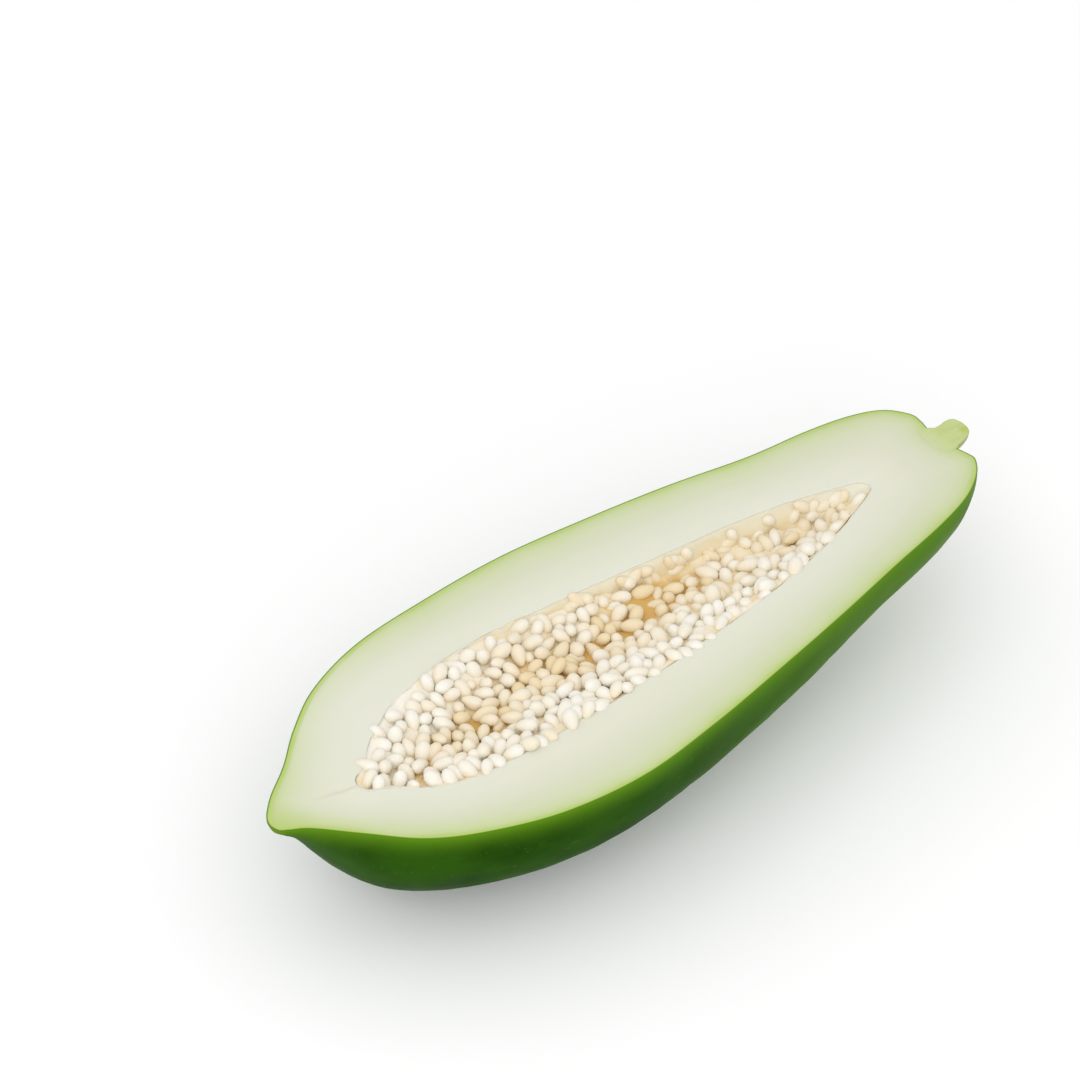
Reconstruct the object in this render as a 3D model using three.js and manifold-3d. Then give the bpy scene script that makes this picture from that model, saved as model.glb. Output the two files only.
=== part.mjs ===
// Half of an unripe green papaya, cut lengthwise through its stem and lying on its back with the cut face up.
// Millimetres, +Z up. X runs from the blossom tip to the stem, +Y to the hollow side of the slightly bent fruit.
// The ribs below are measured from the blossom tip, with z = 0 in the cut face. The group is moved at the end,
// so that the part's origin is the middle of its footprint, on the surface that it lies on.

import * as THREE from "three";
import { mergeVertices } from "three/addons/utils/BufferGeometryUtils.js";
import Module from "manifold-3d";

const wasm = await Module();
wasm.setup();

// Driving dimensions
const SKIN_THICKNESS = 1.5;
const LAYER_GAP = 0.4; // clearance between one layer and the next
const LINING_THICKNESS = 1.2; // soft tissue on the cavity's wall, which the seeds grow from
const REST_DEPTH = 45; // from the cut face to the small flat spot that the half lies on
const LOBE_DEPTH = 0.014; // how far the fruit's faint long ridges stand out, as a share of its radius
const LOBES = 5;
const SEED_SIZE = new THREE.Vector3(6.2, 4.7, 4.3);
const SEED_PITCH = 5.9; // from one seed to the next
const SEED_JITTER = 0.8;
const SEED_TILT = 0.4; // radians
const SEED_LIFT = 0.7; // how far a seed's middle stands above the surface of the bed
const SEED_MARGIN = 1.2; // how far a seed's middle keeps from the lining
const SEED_COLUMNS = 10;
const SEED_START = -26; // where the first column of seeds would stand, across the cavity
const BED_DEPTH = 0.6; // the bed's surface below the cut face, where the seeds reach the rim
const BED_DIP = 6.5; // how much deeper it lies along the far wall, towards the stem
const BED_DIP_ALONG = [60, 150]; // it gets deeper from the first of these places to the second
const BED_DIP_ACROSS = [-16, 14];
const BED_BLOCK = { start: 20, end: 215, far: 26, near: -34, floor: -30 }; // wider than the cavity all round
const POINT_INSET = 1.6; // a smaller cavity's pointed ends draw in by this much more than its sides
const POINT_REACH = 8; // how far from its ends they do so
const KNIFE_BLOCK = [400, 200, 100]; // what is cut away, standing on the cut face
const KNIFE_PLACE = 130; // the block's middle along the fruit

// A repeatable draw of numbers
const FIRST_STATE = 20261;
const STATE_FACTOR = 1664525;
const STATE_STEP = 1013904223;
const STATES = 2 ** 32;

// How finely the bodies are faceted: steps along them, and sides round the whole body
const EVEN_LENGTH = 0.6;
const FRUIT_STEPS = 42;
const FRUIT_SIDES = 32;
const CAVITY_STEPS = 24;
const CAVITY_SIDES = 20;
const BED_STEPS = 18;
const BED_SIDES = 5;
const STEM_STEPS = 7;
const STEM_SIDES = 20;
const TURN_STEP = 1e-3; // the step along and round a body that its slope is taken from
const SAME_CORNER = 1e-4; // corners nearer than this are one

// Ribs across the fruit: place along it, far edge and near edge on the cut face, and depth below it.
const FRUIT_RIBS = [
  [-1.7, -4.3, -4.3, 0],
  [-1.1, -2.0, -6.9, 2.0],
  [1.2, 0.9, -8.6, 4.2],
  [6.0, 5.2, -12.0, 8.6],
  [15.0, 11.6, -22.2, 21.0],
  [26.0, 21.1, -34.0, 32.4],
  [40.0, 30.3, -42.3, 39.2],
  [60.0, 36.9, -49.4, 43.5],
  [85.0, 39.2, -52.0, 45.3],
  [112.0, 39.7, -48.9, 46.2],
  [140.0, 36.9, -43.8, 44.0],
  [167.0, 33.0, -38.4, 38.2],
  [192.0, 28.0, -32.8, 32.4],
  [212.0, 25.8, -28.6, 28.0],
  [226.0, 23.0, -24.4, 23.6],
  [235.0, 18.9, -19.2, 18.6],
  [239.6, 12.8, -14.0, 12.6],
  [239.9, 8.8, -10.8, 9.4],
  [238.9, 4.6, -6.2, 5.4],
];

// The same for the seed cavity, which comes to a point at both ends.
const CAVITY_RIBS = [
  [25.0, -7.6, -7.6, 0],
  [26.3, -4.7, -10.2, 2.8],
  [31.0, -1.8, -12.6, 5.4],
  [41.0, 6.3, -20.4, 12.6],
  [54.0, 13.0, -24.6, 18.6],
  [74.0, 16.8, -25.0, 22.4],
  [98.0, 17.0, -24.7, 23.0],
  [124.0, 14.4, -23.0, 21.0],
  [152.0, 11.4, -20.0, 17.0],
  [180.0, 7.8, -14.8, 12.0],
  [199.0, 3.4, -8.6, 6.6],
  [208.0, -0.1, -4.9, 2.6],
  [209.8, -2.4, -2.4, 0],
];

// The same for the stub of stem, which was split with the fruit.
const STEM_RIBS = [
  [237.7, 3.9, -5.5, 4.7],
  [240.4, 3.6, -5.8, 4.8],
  [243.6, 3.9, -5.4, 4.8],
  [246.2, 3.6, -4.4, 4.2],
  [248.1, 2.8, -1.9, 2.6],
];

// Each part's colour and roughness
const LOOKS = {
  skin: [0x3a6a1e, 0.45],
  flesh: [0xe4e3cd, 0.6],
  placenta: [0xdcc08a, 0.7],
  seeds: [0xf4eedc, 0.4],
  stem: [0xb6c67c, 0.6],
};

function fractions(count) {
  return Array.from({ length: count + 1 }, (_, i) => i / count);
}

// A smooth run of ribs through a whole body. Each is an ellipse that the cut face halves, with faint lobes: one
// along the keel and one near each edge.
class Ribbed {
  constructor(ribs, lobeDepth = 0) {
    this.lobeDepth = lobeDepth;
    this.pointed = ribs[0][3] === 0;
    this.edges = this.curveOf(ribs, ([x, far, near]) => new THREE.Vector3(x, far, near));
    this.keel = this.curveOf(ribs, ([x, , , depth]) => new THREE.Vector3(x, depth, 0));
  }

  curveOf(ribs, place) {
    return new THREE.CatmullRomCurve3(ribs.map(place), false, "catmullrom");
  }

  // The point at t along the body and an angle round it: 0 is the far edge, half a turn the near edge.
  point(t, angle) {
    const edge = this.edges.getPoint(t);
    const lobe = 1 + this.lobeDepth * Math.sin(angle) * Math.cos(LOBES * (angle - Math.PI / 2));
    const middle = (edge.y + edge.z) / 2;
    const half = (edge.y - edge.z) / 2;
    const depth = Math.max(this.keel.getPoint(t).y, 0);
    return new THREE.Vector3(
      edge.x,
      middle + half * lobe * Math.cos(angle),
      -depth * lobe * Math.sin(angle),
    );
  }

  normal(t, angle) {
    if (this.pointed && t < TURN_STEP) return new THREE.Vector3(-1, 0, 0);
    const before = this.point(Math.max(t - TURN_STEP, 0), angle);
    const along = this.point(Math.min(t + TURN_STEP, 1), angle).sub(before);
    const round = this.point(t, angle + TURN_STEP).sub(this.point(t, angle - TURN_STEP));
    return along.cross(round).normalize();
  }

  // Places along the body, spread between evenly from rib to rib and evenly by length.
  steps(count) {
    return fractions(count).map((t) => THREE.MathUtils.lerp(t, this.edges.getUtoTmapping(t), EVEN_LENGTH));
  }

  // One rib's points, moved in from the surface by an inset, and flattened where the fruit lies on them.
  rib(t, sides, inset) {
    return fractions(sides).slice(1).map((share) => {
      const angle = 2 * Math.PI * share;
      const point = this.point(t, angle).addScaledVector(this.normal(t, angle), -inset);
      return point.setZ(Math.max(point.z, inset - REST_DEPTH));
    });
  }

  // The body through the ribs' points, shut at both ends by zipping a rib's two halves.
  solid(steps, sides, inset = 0) {
    const loops = this.steps(steps).map((t) => this.rib(t, sides, inset));
    return solidOf(closedGeometry(loft(loops)));
  }
}

// The triangles of a body through closed loops of points. Each patch is split along its shorter diagonal, so that
// neighbouring layers are split alike and stay clear.
function loft(loops) {
  const faces = [];
  const quad = (a, b, c, d) => {
    if (a.distanceTo(c) < b.distanceTo(d)) faces.push([a, b, c], [a, c, d]);
    else faces.push([a, b, d], [b, c, d]);
  };
  for (let i = 0; i + 1 < loops.length; i++) {
    loops[i].forEach((a, j) => {
      const next = (j + 1) % loops[i].length;
      quad(a, loops[i + 1][j], loops[i + 1][next], loops[i][next]);
    });
  }
  const zip = (loop, face) => {
    for (let k = 0; k + 1 < loop.length / 2; k++) {
      face(loop[k], loop[k + 1], loop[loop.length - 2 - k], loop[loop.length - 1 - k]);
    }
  };
  zip(loops[0], (a, b, c, d) => quad(a, b, c, d));
  zip(loops[loops.length - 1], (a, b, c, d) => quad(a, d, c, b));
  return faces;
}

// Triangles, as geometry with its shared corners merged and its flat scraps left out.
function closedGeometry(faces) {
  const merged = mergeVertices(new THREE.BufferGeometry().setFromPoints(faces.flat()), SAME_CORNER);
  const corners = Array.from(merged.index.array);
  const kept = [];
  for (let i = 0; i < corners.length; i += 3) {
    const face = corners.slice(i, i + 3);
    if (new Set(face).size === 3) kept.push(...face);
  }
  merged.setIndex(kept);
  return merged;
}

function solidOf(geometry) {
  const vertProperties = new Float32Array(geometry.attributes.position.array);
  const triVerts = new Uint32Array(geometry.index.array);
  return new wasm.Manifold(new wasm.Mesh({ numProp: 3, vertProperties, triVerts }));
}

function geometryOf(solid) {
  const { vertProperties, triVerts } = solid.getMesh();
  const geometry = new THREE.BufferGeometry();
  geometry.setAttribute("position", new THREE.BufferAttribute(new Float32Array(vertProperties), 3));
  geometry.setIndex(Array.from(triVerts));
  return geometry;
}

// A block or a ball, as a solid.
function primitiveSolid(geometry) {
  geometry.deleteAttribute("normal");
  geometry.deleteAttribute("uv");
  return solidOf(mergeVertices(geometry, SAME_CORNER));
}

// What the knife leaves below the cut face.
function halved(solid) {
  const taken = new THREE.BoxGeometry(...KNIFE_BLOCK).translate(KNIFE_PLACE, 0, KNIFE_BLOCK[2] / 2);
  return solid.subtract(primitiveSolid(taken));
}

function stemSolid() {
  return new Ribbed(STEM_RIBS).solid(STEM_STEPS, STEM_SIDES);
}

// The way for the stem through the skin.
function stemHole() {
  const ribs = STEM_RIBS.map(([x, far, near, depth], i) => [
    i === 0 ? x - SKIN_THICKNESS : x,
    far + LAYER_GAP,
    near - LAYER_GAP,
    depth + LAYER_GAP,
  ]);
  return new Ribbed(ribs).solid(STEM_STEPS, STEM_SIDES);
}

// The seed cavity, made smaller all round by an inset.
function cavitySolid(inset) {
  const start = CAVITY_RIBS[0][0];
  const end = CAVITY_RIBS[CAVITY_RIBS.length - 1][0];
  const drawnIn = (distance) => inset * POINT_INSET * Math.max(1 - distance / POINT_REACH, 0);
  const ribs = CAVITY_RIBS.map(([x, far, near, depth]) => {
    const place = x + drawnIn(x - start) - drawnIn(end - x);
    if (depth === 0) return [place, far, near, 0];
    return [place, far - inset, near + inset, depth - inset];
  });
  return new Ribbed(ribs).solid(CAVITY_STEPS, CAVITY_SIDES);
}

function skinSolid() {
  const outside = fruit.solid(FRUIT_STEPS, FRUIT_SIDES);
  const inside = fruit.solid(FRUIT_STEPS, FRUIT_SIDES, SKIN_THICKNESS);
  return halved(outside.subtract(inside).subtract(stemHole()));
}

function fleshSolid() {
  const whole = fruit.solid(FRUIT_STEPS, FRUIT_SIDES, SKIN_THICKNESS + LAYER_GAP);
  return halved(whole.subtract(cavitySolid(0)));
}

function liningSolid() {
  return halved(cavitySolid(LAYER_GAP).subtract(cavitySolid(LAYER_GAP + LINING_THICKNESS)));
}

// How far the surface that the seeds sit on lies below the cut face.
function bedDepth(x, y) {
  const along = THREE.MathUtils.smoothstep(x, ...BED_DIP_ALONG);
  const across = THREE.MathUtils.smoothstep(y, ...BED_DIP_ACROSS);
  return BED_DEPTH + BED_DIP * along * across;
}

// The bed: what is left of the cavity below that surface, inside the lining.
function bedSolid(room) {
  const { start, end, far, near, floor } = BED_BLOCK;
  const loops = fractions(BED_STEPS).map((t) => {
    const x = THREE.MathUtils.lerp(start, end, t);
    const top = fractions(BED_SIDES).map((s) => {
      const y = THREE.MathUtils.lerp(near, far, s);
      return new THREE.Vector3(x, y, -bedDepth(x, y));
    });
    return [...top, new THREE.Vector3(x, far, floor), new THREE.Vector3(x, near, floor)];
  });
  return solidOf(closedGeometry(loft(loops))).intersect(room);
}

// Gives numbers from 0 to 1, the same ones each time.
function repeatableDraw() {
  let state = FIRST_STATE;
  return () => {
    state = (state * STATE_FACTOR + STATE_STEP) % STATES;
    return state / STATES;
  };
}

// Seeds on a staggered grid, each moved and turned a little.
function seedSolids() {
  const random = repeatableDraw();
  const either = (size) => (random() * 2 - 1) * size;
  const cavity = CAVITY_RIBS.map(([x, far, near]) => new THREE.Vector3(x, far, near));
  const seeds = [];
  const rowPitch = SEED_PITCH * Math.sin(Math.PI / 3);
  for (let row = 0; row * rowPitch < cavity[cavity.length - 1].x - cavity[0].x; row++) {
    for (let column = 0; column < SEED_COLUMNS; column++) {
      const x = cavity[0].x + row * rowPitch + either(SEED_JITTER);
      const y = SEED_START + (column + (row % 2) / 2) * SEED_PITCH + either(SEED_JITTER);
      const turn = new THREE.Euler(either(SEED_TILT), either(SEED_TILT), either(Math.PI));
      const after = cavity.findIndex((rib) => rib.x > x);
      if (after < 1) continue;
      const [a, b] = [cavity[after - 1], cavity[after]];
      const edge = a.clone().lerp(b, (x - a.x) / (b.x - a.x));
      const margin = LAYER_GAP * 2 + LINING_THICKNESS + SEED_MARGIN;
      if (y > edge.y - margin || y < edge.z + margin) continue;
      const place = new THREE.Matrix4().compose(
        new THREE.Vector3(x, y, -bedDepth(x, y) + SEED_LIFT),
        new THREE.Quaternion().setFromEuler(turn),
        SEED_SIZE,
      );
      seeds.push(primitiveSolid(new THREE.IcosahedronGeometry(0.5, 0).applyMatrix4(place)));
    }
  }
  return seeds;
}

function seedsSolid() {
  const room = cavitySolid(LAYER_GAP * 2 + LINING_THICKNESS);
  const whole = seedSolids().reduce((bed, seed) => bed.add(seed), bedSolid(room));
  return whole.intersect(room);
}

function mesh(name, solid) {
  const [color, roughness] = LOOKS[name];
  const material = new THREE.MeshStandardMaterial({ color, roughness, metalness: 0, flatShading: true });
  const made = new THREE.Mesh(geometryOf(solid), material);
  made.name = name;
  return made;
}

const fruit = new Ribbed(FRUIT_RIBS, LOBE_DEPTH);
const papaya = new THREE.Group();
papaya.add(mesh("skin", skinSolid()));
papaya.add(mesh("flesh", fleshSolid()));
papaya.add(mesh("placenta", liningSolid()));
papaya.add(mesh("seeds", seedsSolid()));
papaya.add(mesh("stem", halved(stemSolid())));

const box = new THREE.Box3().setFromObject(papaya);
const centre = box.getCenter(new THREE.Vector3());
papaya.position.set(-centre.x, -centre.y, -box.min.z);

export default papaya;
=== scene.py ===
import math
import random

import bpy
import numpy as np
from bpy.props import FloatProperty, FloatVectorProperty, IntProperty, PointerProperty
from mathutils import Matrix, Vector, noise


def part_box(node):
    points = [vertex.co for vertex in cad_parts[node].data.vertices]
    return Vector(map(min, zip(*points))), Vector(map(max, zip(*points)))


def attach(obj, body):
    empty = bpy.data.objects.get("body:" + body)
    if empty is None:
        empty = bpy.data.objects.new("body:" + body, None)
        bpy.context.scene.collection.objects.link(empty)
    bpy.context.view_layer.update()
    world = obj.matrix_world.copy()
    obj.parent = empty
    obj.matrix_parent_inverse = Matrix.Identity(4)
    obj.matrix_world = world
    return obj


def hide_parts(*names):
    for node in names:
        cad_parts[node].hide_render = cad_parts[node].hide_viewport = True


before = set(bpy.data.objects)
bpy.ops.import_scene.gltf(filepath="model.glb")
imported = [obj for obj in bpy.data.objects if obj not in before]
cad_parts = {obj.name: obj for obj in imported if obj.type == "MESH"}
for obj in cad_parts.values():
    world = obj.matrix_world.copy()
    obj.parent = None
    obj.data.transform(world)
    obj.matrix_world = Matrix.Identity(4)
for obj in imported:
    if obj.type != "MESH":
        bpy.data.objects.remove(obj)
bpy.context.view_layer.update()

bl_info = {
    "name": "Papaya half",
    "version": (1, 0, 0),
    "blender": (4, 5, 0),
    "location": "View3D > Sidebar > Papaya",
    "description": "Models the skin, flesh, seed cavity, seeds and stem of a halved green papaya",
    "category": "Add Mesh",
}

MM = 0.001
SKIN_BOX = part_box("skin")
CUT_HEIGHT = SKIN_BOX[1].z / MM  # the cut face, above the surface that the half lies on

# Ribs in millimetres from the blossom tip: place along the fruit, far edge and near edge on the cut face,
# and depth below it. Those of the fruit and of its cavity are the CAD model's own.
FRUIT_RIBS = (
    (-1.7, -4.3, -4.3, 0),
    (-1.1, -2.0, -6.9, 2.0),
    (1.2, 0.9, -8.6, 4.2),
    (6.0, 5.2, -12.0, 8.6),
    (15.0, 11.6, -22.2, 21.0),
    (26.0, 21.1, -34.0, 32.4),
    (40.0, 30.3, -42.3, 39.2),
    (60.0, 36.9, -49.4, 43.5),
    (85.0, 39.2, -52.0, 45.3),
    (112.0, 39.7, -48.9, 46.2),
    (140.0, 36.9, -43.8, 44.0),
    (167.0, 33.0, -38.4, 38.2),
    (192.0, 28.0, -32.8, 32.4),
    (212.0, 25.8, -28.6, 28.0),
    (226.0, 23.0, -24.4, 23.6),
    (235.0, 18.9, -19.2, 18.6),
    (239.6, 12.8, -14.0, 12.6),
    (239.9, 8.8, -10.8, 9.4),
    (238.9, 4.6, -6.2, 5.4),
)
CAVITY_RIBS = (
    (25.0, -7.6, -7.6, 0),
    (26.3, -4.7, -10.2, 2.8),
    (31.0, -1.8, -12.6, 5.4),
    (41.0, 6.3, -20.4, 12.6),
    (54.0, 13.0, -24.6, 18.6),
    (74.0, 16.8, -25.0, 22.4),
    (98.0, 17.0, -24.7, 23.0),
    (124.0, 14.4, -23.0, 21.0),
    (152.0, 11.4, -20.0, 17.0),
    (180.0, 7.8, -14.8, 12.0),
    (199.0, 3.4, -8.6, 6.6),
    (208.0, -0.1, -4.9, 2.6),
    (209.8, -2.4, -2.4, 0),
)
# The stem's begin deeper in the flesh than in the CAD model, so that its colour can pass into the flesh's.
STEM_RIBS = (
    (234.6, -0.8, -0.8, 0),
    (235.4, 4.6, -6.2, 5.2),
    (237.8, 5.4, -7.0, 6.2),
    (239.2, 4.9, -6.8, 5.8),
    (240.6, 3.7, -6.2, 4.9),
    (242.4, 3.6, -5.8, 4.7),
    (244.6, 3.9, -5.1, 4.6),
    (246.4, 3.7, -4.2, 4.1),
    (247.6, 2.7, -2.6, 2.6),
    (248.1, 0.3, 0.3, 0),
)
LOBES = 5  # faint long ridges round the whole fruit
LOBE_DEPTH = 0.014  # how far they stand out, as a share of its radius
REST_DEPTH = 45.0  # from the cut face to the small flat spot that the half lies on

# How finely the surfaces are divided
EVEN_LENGTH = 0.65  # how evenly the rows lie by length: 0 is evenly from rib to rib
LENGTH_SAMPLES = 200
EDGE_SAMPLES = 400
HOLLOW_SAMPLES = 300
TURN_STEP = 1e-3  # the step along and round a body that its slope is taken from
LEVEL = 1e-6  # a turn with a smaller sine lies in the cut face
CUT_BAND = 0.01  # points no further below the cut face are on it

# Places on the fruit, in millimetres from the blossom tip
TIP_GREEN = (0.0, -6.5, 0.0)
STEM_GREEN = (242.0, -0.8, 0.0)
STEM_SPOT = (246.6, -2.2, 0.0)
SCAR = (-0.8, -5.6, -0.8)
WHITEST = (42.0, 14.0, 0.0)
HOLLOW_TIP = (207.0, -1.0, 0.0)
STEM_NECK = (238.0, 240.6)  # where the flesh's colour passes into the stem's
CAP_POLE = (4.0, 1.0)  # the pole of the cap at the stem is this near the fruit's end and its middle
SEAM_START = (27.0, -7.8, 0.0)
SEAM_END = (11.0, -2.6, 0.0)
STEM_PROUD = 0.02  # how far the stem's cut face stands over the flesh's, so that its colour shows
STEM_TOP = STEM_PROUD * 0.9  # points higher over the cut face are on the stem's own
CUT_REACH = 20.0  # how deep under the skin the flesh's colour still changes
STREAKS = 4.5  # pale streaks from the stem, for each radian round it
STREAK_WANDER = 9.0  # how fast they change along the fruit, for each metre

# The lining: its thickness as a share of the setting, usually and at the least
LINING_FULLNESS = 1.1
LINING_LEAST = 0.2
LINING_GAP = 0.03  # between it and the flesh
LINING_EDGE = 0.05  # its thickness at its upper edge
LINING_DROP = 0.8  # how far below the cut face that is, as a share of the rim's rounding

# How deep the seeds' bed lies, from the hollow's near edge to its far edge, in each half of the fruit.
# Pairs below say where something begins and is complete, and a third number says by how much.
BED_SHARES = (0.0, 0.12, 0.35, 0.6, 0.8, 1.0)
BED_BLOSSOM = (0.4, 2.0, 4.0, 4.6, 2.6, 0.5)
BED_STEM = (0.4, 2.0, 4.6, 6.2, 6.2, 4.6)
BED_CHANGES = (75, 150)
BED_BLOSSOM_END = (24, 40, 0.6)  # it gets shallower towards the hollow's tips
BED_STEM_END = (194, 210, 0.6)
BED_GAP = 0.1  # between it and the wall
BED_LEAST = 0.15  # its least thickness
BED_LEAST_SPAN = 0.2  # the least share of the hollow's width that it spans
LEAST_DEPTH = 0.1  # what the hollow's depth counts as in its tips

# The trough along the heap, where seeds are fewer and the pulp is ochre
TROUGH_PLACES = (45, 65, 85, 110, 130, 150, 175)
TROUGH_MIDDLES = (-12, -8, -3, -3, 3, 3, -4)
TROUGH_WIDTH = 7.5
TROUGH_BEGINS = (34, 52)
TROUGH_THINS = (138, 165, 0.75)

# Where seeds are sown, how far they keep from the edges and from each other, and what share stays bare
SEED_DRAW = 7
SEED_REACH = (CAVITY_RIBS[0][0] + 2, CAVITY_RIBS[-1][0] - 3)
SEED_RANGE = (-25.0, 17.0)
SEED_MARGIN = 1.2
FAR_MARGIN = 1.3
BELLY_MARGIN = (34, 46, 1.6)
BELLY_ENDS = (80, 100)
STEM_HALF_MARGIN = (70, 110, 1.0)
SEED_SPACING = 2.4
TROUGH_BARE = 0.36
TROUGH_FILLS = (90, 120, 0.16)
STEM_HALF_BARE = (120, 150, 0.2)
STEM_HALF_ACROSS = (0.3, 0.5)
FAR_STRIP = 0.8  # the strip along the far wall begins at this share of the width
FAR_STRIP_BARE = (90, 140, 0.6)
FAR_STRIP_FILLS = (188, 200)

# How a seed leans, and how deep it sits, as shares of its width
LEAN_UP = 0.4
LEAN = 0.9
STAND = 0.4
SEED_HEIGHT = 0.32
SEED_SINK = 0.7
SUNK_MOST = 0.5
SUNK_MORE = (90, 150, 0.3)
SEED_SCALES = (0.82, 1.08)
LINING_UNDER_SEEDS = 1.0
PULP_STEP = 0.7  # the step that the pulp's slope is taken from

# How white seeds are as a rule, more by the rims and the blossom end, and less in the trough, where a warmer
# tone is painted shade
WHITE = 0.55
WHITE_SPREAD = 0.16
WHITE_NEAR = (0.25, 0.42, 0.35)
WHITE_FAR = (0.6, 0.85, 0.3)
WHITE_FAR_ENDS = (80, 110)
WHITE_BLOSSOM = (35, 75, 0.25)
# Painted shade: how much warmer the seeds in the trough are coloured.
TROUGH_PAINTED_SHADE = 0.4

# Seeds half sunk in the lining of the far wall
WALL_SEEDS = 38
WALL_SEED_RANGE = (92.0, 206.0)
WALL_SEED_LEVELS = (1.6, 6.0)
WALL_SEED_DEEPEST = 0.75  # as a share of the hollow's depth
WALL_SEED_PROUD = 1.3
WALL_SEED_ASIDE = (-0.4, 0.4)
WALL_SEED_LEAN = 0.7
WALL_SEED_SCALES = (0.75, 0.95)
WALL_SEED_WHITE = (0.2, 0.6)

# A seed's form: how full it is, and how it draws in towards its stalk
SEED_FULLNESS = 1.06
SEED_TAPER = 0.34
SEED_TAPER_POWER = 1.5
SEED_FLATNESS = 0.9

# How seeds push each other apart. Each counts as three balls in a row.
SETTLING_ROUNDS = 24
BALL_PLACES = (-0.27, 0.0, 0.27)  # as shares of its length
BALL_SIZE = 0.68  # as a share of its width
PUSH = 0.12
SINKING = 0.1
CEILING = 0.7  # how high over the cut face a seed's middle may rise
CEILING_DROPS = (0.55, 0.9, 2.0)  # and how much less by the far wall

SKY_STRENGTH = 0.86
SOFT_LIGHTS = (
    ("key", (-0.5, -0.1, 1.4), 1.2, 2.2),
    ("fill", (-0.9, -1.0, 0.9), 1.4, 7.0),
)
CAMERA_AZIMUTH = -40.4
CAMERA_ELEVATION = 40.0
CAMERA_DISTANCE = 1500.0
CAMERA_AIM = (125.1, 37.95, 0.0)  # where the picture's middle meets the cut face
CAMERA_LENS = 183.5
CAMERA_SENSOR = 36.0


class Ribbed:
    """A smooth run of ribs through a whole body. Each is an ellipse that the cut face halves."""

    def __init__(self, ribs, rows, sides, lobe_depth=0.0):
        self.ribs = [Vector(rib) for rib in ribs]
        self.rows, self.sides = rows, sides
        self.lobe_depth = lobe_depth
        before = self.ribs[0] * 2 - self.ribs[1]
        after = self.ribs[-1] * 2 - self.ribs[-2]
        self.knots = [before, *self.ribs, after]
        places = self.ribs_along(LENGTH_SAMPLES)
        steps = [(b.xyz - a.xyz).length for a, b in zip(places, places[1:])]
        self.lengths = np.concatenate([[0.0], np.cumsum(steps)]) / sum(steps)

    def rib(self, t):
        spans = len(self.ribs) - 1
        span = min(int(t * spans), spans - 1)
        u = t * spans - span
        p0, p1, p2, p3 = self.knots[span:span + 4]
        start, end = (p2 - p0) / 2, (p3 - p1) / 2
        square = 3 * (p2 - p1) - 2 * start - end
        cube = 2 * (p1 - p2) + start + end
        return p1 + start * u + square * u**2 + cube * u**3

    def ribs_along(self, count):
        """Ribs in even steps from the first to the last."""
        return [self.rib(k / count) for k in range(count + 1)]

    def point(self, t, angle):
        """The point at t along the body, at an angle: 0 is the far edge, half a turn the near edge."""
        x, far, near, depth = self.rib(t)
        lobe = 1 + self.lobe_depth * math.sin(angle) * math.cos(LOBES * (angle - math.pi / 2))
        y = (far + near) / 2 + (far - near) / 2 * lobe * math.cos(angle)
        return Vector((x, y, -max(depth, 0) * lobe * math.sin(angle)))

    def normal(self, t, angle):
        if self.ribs[0][3] == 0 and t < TURN_STEP:
            return Vector((-1, 0, 0))
        along = self.point(min(t + TURN_STEP, 1), angle) - self.point(max(t - TURN_STEP, 0), angle)
        turn = self.point(t, angle + TURN_STEP) - self.point(t, angle - TURN_STEP)
        return along.cross(turn).normalized()

    def inner(self, t, angle, inset):
        """The point moved in from the surface, and flattened where the fruit lies on it."""
        point = self.point(t, angle) - self.normal(t, angle) * inset
        point.z = max(point.z, inset - REST_DEPTH)
        return point

    def spread(self, share):
        """A place along the body, between evenly from rib to rib and evenly by length."""
        by_length = float(np.interp(share, self.lengths, np.linspace(0, 1, LENGTH_SAMPLES + 1)))
        return share + (by_length - share) * EVEN_LENGTH


FRUIT = Ribbed(FRUIT_RIBS, rows=110, sides=96, lobe_depth=LOBE_DEPTH)
HOLLOW = Ribbed(CAVITY_RIBS, rows=110, sides=48)
HOLLOW_TABLE = HOLLOW.ribs_along(HOLLOW_SAMPLES)
HOLLOW_PLACES = np.array([rib[0] for rib in HOLLOW_TABLE])
FRUIT_TABLE = FRUIT.ribs_along(EDGE_SAMPLES)
FRUIT_MIDDLE = (min(rib[2] for rib in FRUIT_TABLE) + max(rib[1] for rib in FRUIT_TABLE)) / 2

# What a place measured from the blossom tip moves by in the frame, in millimetres
SHIFT = Vector((
    SKIN_BOX[0].x / MM - FRUIT_RIBS[0][0],
    (SKIN_BOX[0].y + SKIN_BOX[1].y) / MM / 2 - FRUIT_MIDDLE,
    CUT_HEIGHT,
))


def in_frame(point):
    return (point + SHIFT) * MM


def blend(value, low, high, most=1.0):
    """0 below low, the most above high, and smooth between them."""
    share = min(1.0, max(0.0, (value - low) / (high - low)))
    return most * share * share * (3 - 2 * share)


def fade(value, low, high, most=1.0):
    """The most below low, 0 above high, and smooth between them."""
    return most - blend(value, low, high, most)


def swell(point, height, width, level=None):
    """Smooth unevenness of a height and a width. With a level, it is the same all the way down."""
    if level is not None:
        point = Vector((point.x, point.y, level))
    return height * noise.noise(point / width)


def ragged(point):
    """The uneven edge of the hollow, which the lining follows."""
    return swell(point, height=0.45, width=7, level=0) + swell(point, height=0.2, width=2.5, level=9)


def lies_level(angle):
    """Whether an angle round a body lies in the cut face."""
    return abs(math.sin(angle)) < LEVEL


# Blender steps


def only(*objects):
    """Selects these objects alone, the first of them active."""
    bpy.ops.object.select_all(action="DESELECT")
    for obj in objects:
        obj.select_set(True)
    bpy.context.view_layer.objects.active = objects[0]


def edit(obj):
    only(obj)
    bpy.ops.object.mode_set(mode="EDIT")
    bpy.ops.mesh.select_mode(type="VERT")


def leave_edit():
    bpy.ops.object.mode_set(mode="OBJECT")


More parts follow.
